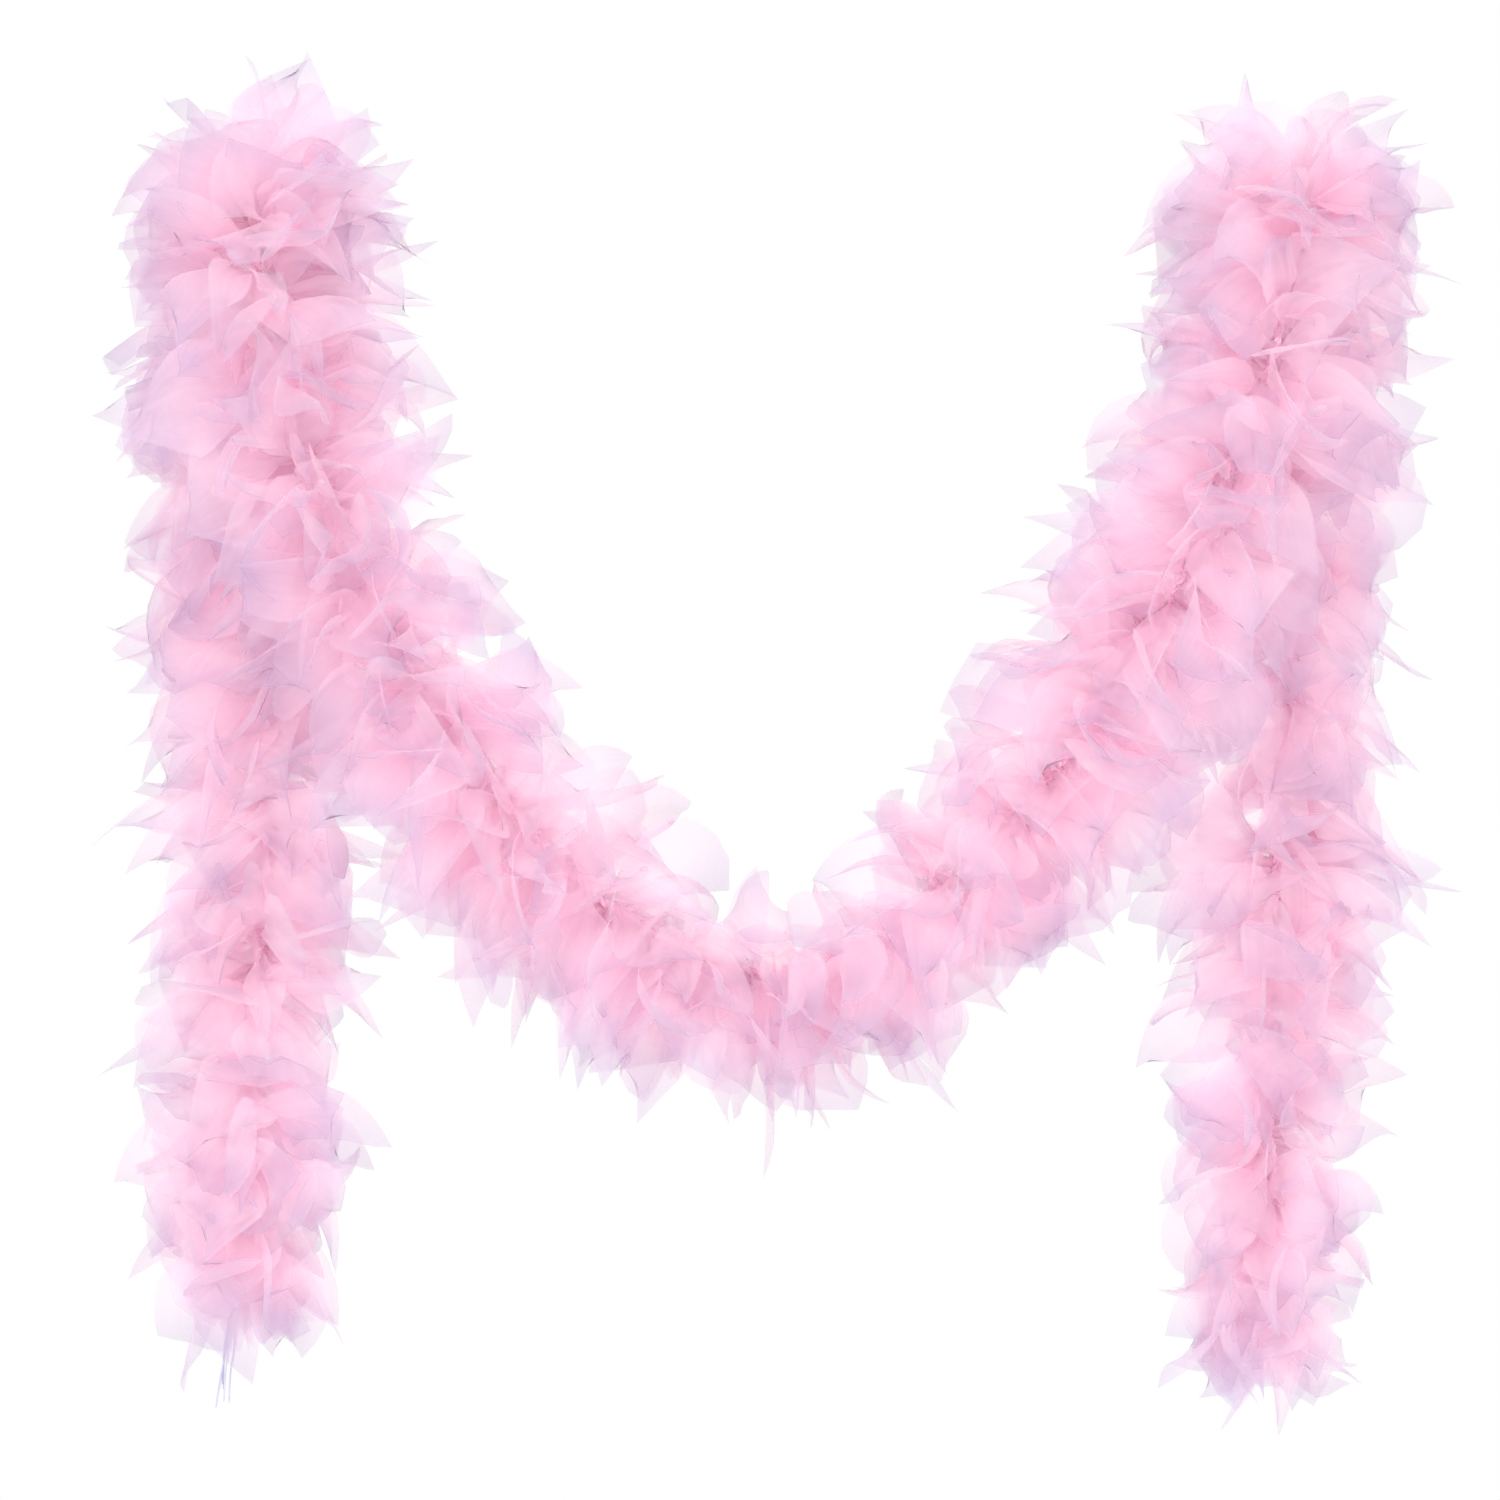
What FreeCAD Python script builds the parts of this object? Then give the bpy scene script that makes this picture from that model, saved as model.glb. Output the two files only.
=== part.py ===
"""Petal boa draped over a straight rail, in millimetres.

The origin is on the rail's axis at the middle of the left saddle. X runs along the rail to the right saddle,
Y points behind the rail, and Z points up. One cord goes over the rail twice: its middle, the swag, hangs in front,
and its two tails hang behind. Whorls of petals, the tufts, sit along the whole cord.
"""

import FreeCAD, Part
import math
import os

Vector = FreeCAD.Vector

# The rail and the places where the boa goes over it
RAIL_RADIUS = 11.0
SADDLE_SPACING = 422.0
SADDLE_RADIUS = 18.0
PAD_LENGTH = 60.0
PAD_GAP = 0.2

# Cord
CORD_RADIUS = 2.0
CUP_GAP = 0.2
ARC_SHARE = 0.45

# Tufts
TUFT_PITCH = 45.0
FIRST_TUFT = 26.0
HUB_RADIUS = 7.0
HUB_LENGTH = 8.0
HUB_BORE = 2.3
CROWN_HUB_LENGTH = 6.0
CROWN_HUB_BORE = 2.6
PETAL_COUNT = 9
PETAL_ROOT = 5.0
PETAL_ROOT_WIDTH = 4.4
PETAL_WIDTH = 22.0
PETAL_THICKNESS = 1.6
PETAL_WIDEST = 0.6
TIP_RADIUS = 56.0
CROWN_TIP_RADIUS = 60.0
INNER_TIP_RADIUS = 38.0
TIP_BEND_SHARE = 0.25
PETAL_TILT = 7.0
SWAG_TILT = 4.0
END_TILT = 52.0
TURN_PER_TUFT = 23.0
CROWN_ANGLES = (45.0, 90.0, 135.0)
CROWN_FAN = (-78.0, -52.0, -26.0, 0.0, 26.0, 52.0, 78.0)

# Where the front and the back strand lie side by side, each keeps to its own side of this gap
STRAND_GAP = 1.0
SIDE_BY_SIDE_X = 115.0
SIDE_BY_SIDE_Z = -270.0
CUTTER = 400.0

# End bindings and the frayed threads
BINDING_RADIUS = 3.6
BINDING_LENGTH = 9.0
BINDING_CHAMFER = 1.0
THREAD_TOP_RADIUS = 2.4
THREAD_END_RADIUS = 1.3
THREAD_LENGTH = 44.0

# The swag's route from the left saddle to the right one
SWAG_ROUTE = [
    (0, -18, 0),
    (3, -24, -34),
    (12, -27, -70),
    (26, -29, -107),
    (45, -30, -142),
    (65, -30, -175),
    (86, -28, -206),
    (109, -25, -235),
    (134, -22, -261),
    (161, -19, -282),
    (189, -17, -296),
    (218, -15, -299),
    (246, -16, -290),
    (272, -18, -272),
    (297, -21, -249),
    (320, -24, -222),
    (341, -27, -193),
    (362, -29, -162),
    (380, -30, -129),
    (396, -29, -95),
    (410, -26, -59),
    (419, -23, -27),
    (422, -18, 0),
]

# Each tail's route in three lengths, measured from its own saddle: sideways, back, up
LEFT_ROUTES = {
    "upper": [(0, 18, 0), (1, 24, -34), (4, 27, -72), (3, 29, -110), (1, 29, -148), (0, 28, -185)],
    "middle": [(0, 28, -185), (-1, 27, -212), (1, 27.5, -246), (-2, 27, -284), (-4, 27, -322)],
    "lower": [(-4, 27, -322), (-6, 27, -348), (-6, 27, -380), (-9, 27, -412)],
}
RIGHT_ROUTES = {
    "upper": [(0, 18, 0), (3, 24, -34), (5, 27, -72), (4, 29, -110), (2, 29, -148), (1, 28, -185)],
    "middle": [(1, 28, -185), (1, 27, -212), (-1, 27.5, -246), (-4, 27, -284), (-6, 27, -322)],
    "lower": [(-6, 27, -322), (-5, 27, -352), (-3, 27, -386), (-5, 27, -416), (-9, 27, -439)],
}
LEFT_TUFTS = {"upper": 4, "middle": 3, "lower": 3}
RIGHT_TUFTS = {"upper": 4, "middle": 3, "lower": 4}
MIDDLE_FIRST = 23.0
LOWER_FIRST = 24.0
LAST_TUFT_INSET = 6.0


def save(name, shape):
    """Write one node, and say its volume."""
    if not shape.isValid() or len(shape.Solids) != 1:
        raise ValueError(f"{name} isn't one valid solid")
    shape.Solids[0].exportStep(f"parts/{name}.step")
    print(f"{name}: {shape.Volume / 1000:.2f} cm3")


def cord_path(name, points):
    """Straight runs joined by tangent arcs, each arc as large as its two runs allow."""
    corners = [Vector(*p) for p in points]
    edges = []
    radii = []
    here = corners[0]
    for before, corner, after in zip(corners, corners[1:], corners[2:]):
        into = corner - before
        out = after - corner
        turn = into.getAngle(out)
        reach = ARC_SHARE * min(into.Length, out.Length)
        radii.append(reach / math.tan(turn / 2))
        into.normalize()
        out.normalize()
        start = corner - into * reach
        end = corner + out * reach
        inward = (out - into).normalize()
        middle = corner + inward * (radii[-1] / math.cos(turn / 2) - radii[-1])
        edges.append(Part.LineSegment(here, start).toShape())
        edges.append(Part.Arc(start, middle, end).toShape())
        here = end
    edges.append(Part.LineSegment(here, corners[-1]).toShape())
    path = Part.Wire(edges)
    print(f"{name}: {path.Length:.0f} mm, arc radii", " ".join(f"{r:.0f}" for r in radii))
    return path


def tube(name, path):
    """The cord's round section swept along its path."""
    first = path.OrderedEdges[0]
    start = first.valueAt(first.FirstParameter)
    circle = Part.Wire(Part.makeCircle(CORD_RADIUS, start, first.tangentAt(first.FirstParameter)))
    cord = path.makePipeShell([circle], True, False)
    expected = math.pi * CORD_RADIUS**2 * path.Length
    print(f"{name}: tube volume over section times length {cord.Volume / expected:.4f}")
    return cord


def along(path, distance):
    """The point and the direction of travel at a distance from the path's start."""
    left = distance
    for edge in path.OrderedEdges[:-1]:
        if left <= edge.Length:
            break
        left -= edge.Length
    else:
        edge = path.OrderedEdges[-1]
    parameter = edge.getParameterByLength(min(left, edge.Length))
    return edge.valueAt(parameter), edge.tangentAt(parameter)


def hinge_cup(cord, pivot):
    """Hollow the end of a cord, so that it turns about the ball on its neighbour's end."""
    return cord.cut(Part.makeSphere(CORD_RADIUS + CUP_GAP, pivot))


def hinge_ball(cord, pivot):
    """Round the end of a cord."""
    return cord.fuse(Part.makeSphere(CORD_RADIUS, pivot)).removeSplitter()


def petal(tip_radius, tilt, turn):
    """One leaf-shaped petal of a tuft whose axis is Z: tilted up by tilt, then turned about the axis."""
    length = tip_radius - PETAL_ROOT
    root = PETAL_ROOT_WIDTH / 2
    side = PETAL_WIDTH / 2
    low = -PETAL_THICKNESS / 2
    widest = PETAL_WIDEST * length
    right_root = Vector(0, -root, low)
    left_root = Vector(0, root, low)
    tip = Vector(length, 0, low)
    outline = Part.Wire(
        [
            Part.Arc(right_root, Vector(widest, -side, low), tip).toShape(),
            Part.Arc(tip, Vector(widest, side, low), left_root).toShape(),
            Part.LineSegment(left_root, right_root).toShape(),
        ]
    )
    leaf = Part.Face(outline).extrude(Vector(0, 0, PETAL_THICKNESS))
    leaf.rotate(Vector(), Vector(0, 1, 0), -tilt)
    leaf.translate(Vector(PETAL_ROOT, 0, 0))
    leaf.rotate(Vector(), Vector(0, 0, 1), turn)
    return leaf


def hub(length, bore):
    """The stitched collar that holds a tuft's petals on the cord."""
    low = Vector(0, 0, -length / 2)
    return Part.makeCylinder(HUB_RADIUS, length, low).cut(Part.makeCylinder(bore, length, low))


def facing(place, direction, side):
    """The placement that lays a tuft's axis along direction, and its X as near to side as it can be."""
    across = direction.cross(side)
    return FreeCAD.Placement(place, FreeCAD.Rotation(side, across, direction, "ZXY"))


def tuft(place, direction, tilts, start_turn, crowded=None):
    """A whorl of petals round the cord. Petals that point to the crowded side are short."""
    placement = facing(place, direction, Vector(0, -1, 0))
    petals = []
    for i in range(PETAL_COUNT):
        turn = start_turn + 360.0 * i / PETAL_COUNT
        angle = math.radians(turn)
        world = placement.Rotation.multVec(Vector(math.cos(angle), math.sin(angle), 0))
        short = crowded is not None and world.dot(crowded) > TIP_BEND_SHARE
        tip = INNER_TIP_RADIUS if short else TIP_RADIUS
        petals.append(petal(tip, tilts[i % len(tilts)], turn))
    whorl = hub(HUB_LENGTH, HUB_BORE).multiFuse(petals)
    whorl.Placement = placement
    return whorl


def keep_side(shape, back):
    """Cut off what reaches into the other strand's half of the space."""
    low_y = STRAND_GAP / 2 - CUTTER if back else -STRAND_GAP / 2
    corner = Vector(-CUTTER, low_y, -2 * CUTTER)
    return shape.cut(Part.makeBox(3 * CUTTER, CUTTER, 3 * CUTTER, corner))


def saddle(side, x):
    """The cord over the rail, the pressed petals under it, and the three tufts on top."""
    front = Vector(x, -SADDLE_RADIUS, 0)
    top = Vector(x, 0, SADDLE_RADIUS)
    back = Vector(x, SADDLE_RADIUS, 0)
    path = Part.Wire([Part.Arc(front, top, back).toShape()])
    cord = tube(f"{side}_saddle_cord", path)
    save(f"{side}_saddle_cord", hinge_ball(hinge_ball(cord, front), back))

    axis = Vector(1, 0, 0)
    pad_start = Vector(x - PAD_LENGTH / 2, 0, 0)
    outer = SADDLE_RADIUS - CORD_RADIUS - PAD_GAP
    ring = Part.makeCylinder(outer, PAD_LENGTH, pad_start, axis)
    ring = ring.cut(Part.makeCylinder(RAIL_RADIUS, PAD_LENGTH, pad_start, axis))
    lower_half = Part.makeBox(PAD_LENGTH, 2 * outer, outer, Vector(pad_start.x, -outer, -outer))
    save(f"{side}_saddle_pad", ring.cut(lower_half))

    clear_of_pad = Part.makeCylinder(outer + 2 * PAD_GAP, CUTTER, Vector(x - CUTTER / 2, 0, 0), axis)
    for number, degrees in enumerate(CROWN_ANGLES, 1):
        angle = math.radians(degrees)
        outward = Vector(0, -math.cos(angle), math.sin(angle))
        travel = Vector(0, math.sin(angle), math.cos(angle))
        petals = []
        for i, turn in enumerate(CROWN_FAN):
            tilt = SWAG_TILT if i % 2 else -SWAG_TILT
            petals.append(petal(CROWN_TIP_RADIUS, tilt, turn))
        crown = hub(CROWN_HUB_LENGTH, CROWN_HUB_BORE).multiFuse(petals)
        crown.Placement = facing(Vector(x, 0, 0) + outward * SADDLE_RADIUS, travel, outward)
        save(f"{side}_crown_tuft_{number}", crown.cut(clear_of_pad))


def swag():
    """The middle of the boa, which hangs in front of the rail."""
    path = cord_path("swag_cord", SWAG_ROUTE)
    cord = tube("swag_cord", path)
    for end in (SWAG_ROUTE[0], SWAG_ROUTE[-1]):
        cord = hinge_cup(cord, Vector(*end))
    save("swag_cord", cord)

    count = round((path.Length - 2 * FIRST_TUFT) / TUFT_PITCH) + 1
    pitch = (path.Length - 2 * FIRST_TUFT) / (count - 1)
    for i in range(count):
        place, direction = along(path, FIRST_TUFT + i * pitch)
        tilts = (SWAG_TILT, -SWAG_TILT)
        if i == 0:
            tilts = (0.0, PETAL_TILT)
        if i == count - 1:
            tilts = (0.0, -PETAL_TILT)
        in_front = place.x < SIDE_BY_SIDE_X or place.x > SADDLE_SPACING - SIDE_BY_SIDE_X
        crowded = None if in_front else Vector(0, 0, 1)
        whorl = tuft(place, direction, tilts, i * TURN_PER_TUFT, crowded)
        if in_front:
            whorl = keep_side(whorl, back=False)
        save(f"swag_tuft_{i + 1:02d}", whorl)


def tail_spots(part, length, count):
    """Distances of a length's tufts from its start."""
    first, last = {
        "upper": (FIRST_TUFT, length - MIDDLE_FIRST),
        "middle": (MIDDLE_FIRST, length - LOWER_FIRST),
        "lower": (LOWER_FIRST, length - LAST_TUFT_INSET),
    }[part]
    return [first + i * (last - first) / (count - 1) for i in range(count)]


def tail_tilts(part, i, count):
    """Petals lean away from a joint beside them, hang down at the tail's end, and lean both ways elsewhere."""
    if part == "lower" and i == count - 1:
        return (END_TILT, END_TILT - 2 * PETAL_TILT)
    if i == 0:
        return (0.0, PETAL_TILT)
    if i == count - 1:
        return (0.0, -PETAL_TILT)
    return (PETAL_TILT, -SWAG_TILT)


def tail(side, x, routes, counts):
    """An end of the boa, which hangs behind the rail in three lengths."""
    number = 0
    for part, route in routes.items():
        points = [(x + sideways, back, up) for sideways, back, up in route]
        name = f"{side}_tail_{part}_cord"
        path = cord_path(name, points)
        cord = hinge_cup(tube(name, path), Vector(*points[0]))
        if part != "lower":
            cord = hinge_ball(cord, Vector(*points[-1]))
        save(name, cord)
        count = counts[part]
        for i, distance in enumerate(tail_spots(part, path.Length, count)):
            number += 1
            place, direction = along(path, distance)
            whorl = tuft(place, direction, tail_tilts(part, i, count), number * TURN_PER_TUFT)
            if place.z > SIDE_BY_SIDE_Z:
                whorl = keep_side(whorl, back=True)
            save(f"{side}_tuft_{number:02d}", whorl)
    return along(path, path.Length)


def binding(side, place, direction):
    """Thread whipped round the end of the core."""
    knot = Part.makeCylinder(BINDING_RADIUS, BINDING_LENGTH, place, direction)
    save(f"{side}_end_binding", knot.makeChamfer(BINDING_CHAMFER, knot.Edges))
    return place + direction * BINDING_LENGTH


def threads(place, direction):
    """The bunch of frayed core threads below the left end."""
    bunch = Part.makeCone(THREAD_TOP_RADIUS, THREAD_END_RADIUS, THREAD_LENGTH, place, direction)
    save("left_core_threads", bunch)


def main():
    """Write every node."""
    os.makedirs("parts", exist_ok=True)
    saddle("left", 0.0)
    saddle("right", SADDLE_SPACING)
    swag()
    left_end = tail("left", 0.0, LEFT_ROUTES, LEFT_TUFTS)
    right_end = tail("right", SADDLE_SPACING, RIGHT_ROUTES, RIGHT_TUFTS)
    threads(binding("left", *left_end), left_end[1])
    binding("right", *right_end)


main()
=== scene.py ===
"""The visible petal boa: sheer organza petals gathered on a plied cord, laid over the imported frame.

Lengths are metres, in the frame's own axes: X along the rail, Y behind it, Z up, with the origin on the
rail's axis in the middle of the left saddle.
"""

import logging
import math
from dataclasses import dataclass, field
from enum import Enum

import bpy
import numpy as np
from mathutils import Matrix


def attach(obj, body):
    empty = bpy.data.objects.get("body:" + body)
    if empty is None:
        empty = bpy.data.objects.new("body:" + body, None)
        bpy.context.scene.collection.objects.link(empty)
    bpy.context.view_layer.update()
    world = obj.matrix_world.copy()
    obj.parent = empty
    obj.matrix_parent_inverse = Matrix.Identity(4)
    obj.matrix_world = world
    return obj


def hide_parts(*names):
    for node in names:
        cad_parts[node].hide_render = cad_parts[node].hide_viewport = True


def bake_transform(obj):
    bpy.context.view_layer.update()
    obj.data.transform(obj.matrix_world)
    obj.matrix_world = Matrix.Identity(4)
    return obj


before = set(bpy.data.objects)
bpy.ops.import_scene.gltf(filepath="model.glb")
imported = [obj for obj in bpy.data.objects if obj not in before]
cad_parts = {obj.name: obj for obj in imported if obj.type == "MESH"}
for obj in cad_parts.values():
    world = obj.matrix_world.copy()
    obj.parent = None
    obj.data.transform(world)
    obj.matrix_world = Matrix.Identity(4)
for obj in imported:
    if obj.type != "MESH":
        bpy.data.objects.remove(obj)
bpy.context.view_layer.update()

LOG = logging.getLogger("petal_boa")

Point = tuple[float, float, float]
Points = tuple[Point, ...]
Socket = bpy.types.NodeSocket
Key = int | str
Inputs = dict[Key, object]

# Where the boa goes over the rail
PAD_INNER = 0.0113
PAD_OUTER = 0.0154
LEFT_X = 0.0
RIGHT_X = 0.422

# Where it bends as it leaves a saddle: how far in front of the rail or behind it, and between which heights
SADDLE_Y = 0.018
SADDLE_HIGH_Z = 0.012
SADDLE_LOW_Z = -0.045

CORD_RADIUS = 0.002

# How far a strand's first tuft is from its saddle, and the others from a joint or from the cord's end
FIRST_TUFT = 0.026
JOINT_INSET = 0.023
LAST_INSET = 0.006

# How many petals a full tuft has, and the thinner ones low on the tails
FULL_TUFT = 40
LOW_TUFT = 28
LAST_TUFT = 32

SWAG_ROUTE: Points = (
    (0.0, 0.0, 0.018),
    (0.0, -0.0075, 0.018),
    (0.0, -0.018, 0.0075),
    (0.003, -0.024, -0.034),
    (0.012, -0.027, -0.070),
    (0.026, -0.029, -0.107),
    (0.045, -0.030, -0.142),
    (0.065, -0.030, -0.175),
    (0.086, -0.028, -0.206),
    (0.109, -0.025, -0.235),
    (0.134, -0.022, -0.261),
    (0.161, -0.019, -0.282),
    (0.189, -0.017, -0.296),
    (0.218, -0.015, -0.299),
    (0.246, -0.016, -0.290),
    (0.272, -0.018, -0.272),
    (0.297, -0.021, -0.249),
    (0.320, -0.024, -0.222),
    (0.341, -0.027, -0.193),
    (0.362, -0.029, -0.162),
    (0.380, -0.030, -0.129),
    (0.396, -0.029, -0.095),
    (0.410, -0.026, -0.059),
    (0.419, -0.023, -0.027),
    (0.422, -0.018, 0.0075),
    (0.422, -0.0075, 0.018),
    (0.422, 0.0, 0.018),
)
# The tails' routes, measured from their own saddles
LEFT_ROUTE: Points = (
    (0.0, 0.0, 0.018),
    (0.0, 0.0075, 0.018),
    (0.0, 0.018, 0.0075),
    (0.001, 0.024, -0.034),
    (0.004, 0.027, -0.072),
    (0.003, 0.029, -0.110),
    (0.001, 0.029, -0.148),
    (0.0, 0.028, -0.185),
    (-0.001, 0.027, -0.212),
    (0.001, 0.0275, -0.246),
    (-0.002, 0.027, -0.284),
    (-0.004, 0.027, -0.322),
    (-0.006, 0.027, -0.348),
    (-0.006, 0.027, -0.380),
    (-0.009, 0.027, -0.412),
)
RIGHT_ROUTE: Points = (
    (0.0, 0.0, 0.018),
    (0.0, 0.0075, 0.018),
    (0.0, 0.018, 0.0075),
    (0.003, 0.024, -0.034),
    (0.005, 0.027, -0.072),
    (0.004, 0.029, -0.110),
    (0.002, 0.029, -0.148),
    (0.001, 0.028, -0.185),
    (0.001, 0.027, -0.212),
    (-0.001, 0.0275, -0.246),
    (-0.004, 0.027, -0.284),
    (-0.006, 0.027, -0.322),
    (-0.005, 0.027, -0.352),
    (-0.003, 0.027, -0.386),
    (-0.005, 0.027, -0.416),
    (-0.009, 0.027, -0.439),
)
MIDDLE_JOINT_Z = -0.185
LOWER_JOINT_Z = -0.322

# Where the swag and a tail still lie side by side: how far from the tail's X, and down to which height
BESIDE_X = 0.115
BESIDE_Z = -0.27

# The yarn grain's scale round a strand and along it
GRAIN_ROUND = 2.0
GRAIN_LONG = 90.0


class Strand(Enum):
    """Which part of the drape a tuft belongs to, which decides what it must keep clear of."""

    FRONT = "in front of the other strand"
    BACK = "behind the other strand"
    FREE = "with nothing beside it"


class Cut(Enum):
    """How a petal is cut from the cloth."""

    CORNER = "a square hung from one corner"
    LOBE = "a square with its corners pulled round"
    STRAIGHT = "a rectangle with a straight end"
    STRIP = "a narrow strip"
    HORN = "a square whose sides have rolled together"
    SCRAP = "a short piece that fills the middle"


@dataclass(frozen=True)
class Pattern:
    """The sizes that petals of one cut come in.

    Attributes:
        share: how many of the petals have this cut, as a share of all.
        width: the least and the most width.
        length: the least and the most length.
        end: the end's width as a share of the full width.
        widest: where along its length the petal is widest.
        round: how full its sides are past the widest place, from 1 for straight ones.
        slant: how far out of square the end may be.
        roll: the least and the most turn from one side to the other, in radians.
    """

    share: float
    width: tuple[float, float]
    length: tuple[float, float]
    end: float
    widest: float
    round: float
    slant: float
    roll: tuple[float, float]


PATTERNS: dict[Cut, Pattern] = {
    Cut.CORNER: Pattern(0.27, (0.034, 0.048), (0.046, 0.064), 0.04, 0.56, 1.3, 0.18, (0.4, 1.8)),
    Cut.LOBE: Pattern(0.20, (0.038, 0.054), (0.044, 0.058), 0.30, 0.62, 2.8, 0.20, (0.4, 1.8)),
    Cut.STRAIGHT: Pattern(0.22, (0.028, 0.042), (0.042, 0.061), 0.88, 0.64, 2.0, 0.38, (0.3, 1.6)),
    Cut.STRIP: Pattern(0.07, (0.010, 0.016), (0.050, 0.066), 0.70, 0.50, 1.5, 0.30, (0.4, 2.0)),
    Cut.HORN: Pattern(0.10, (0.022, 0.032), (0.054, 0.068), 0.04, 0.42, 1.0, 0.10, (2.8, 5.0)),
    Cut.SCRAP: Pattern(0.14, (0.030, 0.044), (0.024, 0.040), 0.40, 0.55, 1.8, 0.35, (1.2, 3.0)),
}


def turned(vectors: np.ndarray, axes: np.ndarray, angles: np.ndarray) -> np.ndarray:
    """Turn vectors about axes.

    Args:
        vectors: rows of x, y, z.
        axes: a unit axis for each row.
        angles: an angle for each row, in radians.

    Returns:
        The turned rows.
    """
    cos = np.cos(angles)[:, None]
    sin = np.sin(angles)[:, None]
    along = (axes * vectors).sum(axis=1, keepdims=True)
    return vectors * cos + np.cross(axes, vectors) * sin + axes * along * (1 - cos)


def unit(vectors: np.ndarray) -> np.ndarray:
    """The same directions at length one."""
    return vectors / np.maximum(np.linalg.norm(vectors, axis=-1, keepdims=True), 1e-9)


def smooth(value: np.ndarray) -> np.ndarray:
    """An even rise from 0 at 0 to 1 at 1."""
    held = np.clip(value, 0.0, 1.0)
    return held * held * (3 - 2 * held)


def mesh_object(name: str, vertices: np.ndarray, faces: list[tuple[int, ...]]) -> bpy.types.Object:
    """Make a smooth-shaded object from plain lists.

    Args:
        name: the piece's name.
        vertices: rows of x, y, z.
        faces: the vertex numbers of each face.

    Returns:
        The new object, linked to the scene.
    """
    mesh = bpy.data.meshes.new(name)
    mesh.from_pydata(vertices.tolist(), [], faces)
    mesh.polygons.foreach_set("use_smooth", [True] * len(mesh.polygons))
    mesh.update()
    made = bpy.data.objects.new(name, mesh)
    bpy.context.collection.objects.link(made)
    return made


def spaced(start: float, end: float, step: float) -> np.ndarray:
    """Distances from start to end, about a step apart."""
    return np.linspace(start, end, max(4, round((end - start) / step)))


@dataclass(frozen=True)
class Line:
    """A fine line along a route, with its running length.

    Attributes:
        points: the line's points, as rows of x, y, z.
    """

    points: np.ndarray

    @classmethod
    def through(cls, control: Points, fineness: int = 12) -> "Line":
        """Read the smooth line that a route's points control.

        Args:
            control: the route's points.
            fineness: line points to each control point.

        Returns:
            The line.
        """
        curve = bpy.data.curves.new("route", "CURVE")
        curve.dimensions = "3D"
        curve.resolution_u = fineness
        spline = curve.splines.new("NURBS")
        spline.points.add(len(control) - 1)
        for held, point in zip(spline.points, control):
            held.co = (*point, 1.0)
        spline.order_u = 3
        spline.use_endpoint_u = True
        holder = bpy.data.objects.new("route", curve)
        mesh = bpy.data.meshes.new_from_object(holder)
        points = np.array([v.co for v in mesh.vertices], float)
        bpy.data.meshes.remove(mesh)
        bpy.data.objects.remove(holder)
        bpy.data.curves.remove(curve)
        return cls(points)

    @property
    def running(self) -> np.ndarray:
        """The length from the start to each point."""
        steps = np.linalg.norm(np.diff(self.points, axis=0), axis=1)
        return np.concatenate([[0.0], np.cumsum(steps)])

    @property
    def length(self) -> float:
        """The whole length."""
        return float(self.running[-1])

    def at(self, distances: np.ndarray) -> np.ndarray:
        """The points at some distances from the start."""
        running = self.running
        return np.stack([np.interp(distances, running, self.points[:, k]) for k in range(3)], axis=-1)

    def heading(self, distances: np.ndarray) -> np.ndarray:
        """The directions of travel at some distances from the start."""
        reach = 0.002
        return unit(self.at(distances + reach) - self.at(distances - reach))

    def where(self, axis: int, value: float) -> float:
        """The distance at which a line that only falls or only rises along an axis passes a value."""
        sign = 1.0 if self.points[-1, axis] > self.points[0, axis] else -1.0
        return float(np.interp(sign * value, sign * self.points[:, axis], self.running))

    def frames(self, distances: np.ndarray) -> tuple[np.ndarray, np.ndarray]:
        """Find two directions square to the line, which turn as little as they can.

        Args:
            distances: the distances from the start.

        Returns:
            The two directions at each distance.
        """
        heading = self.heading(distances)
        side = np.cross(heading, unit(np.array((0.3, 0.6, 0.8))))
        for i in range(1, len(side)):
            side[i] = side[i - 1] - heading[i] * (side[i - 1] @ heading[i])
            side[i] /= np.linalg.norm(side[i])
        side[0] /= np.linalg.norm(side[0])
        return side, np.cross(heading, side)


# ---------------------------------------------------------------- finishes


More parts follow.
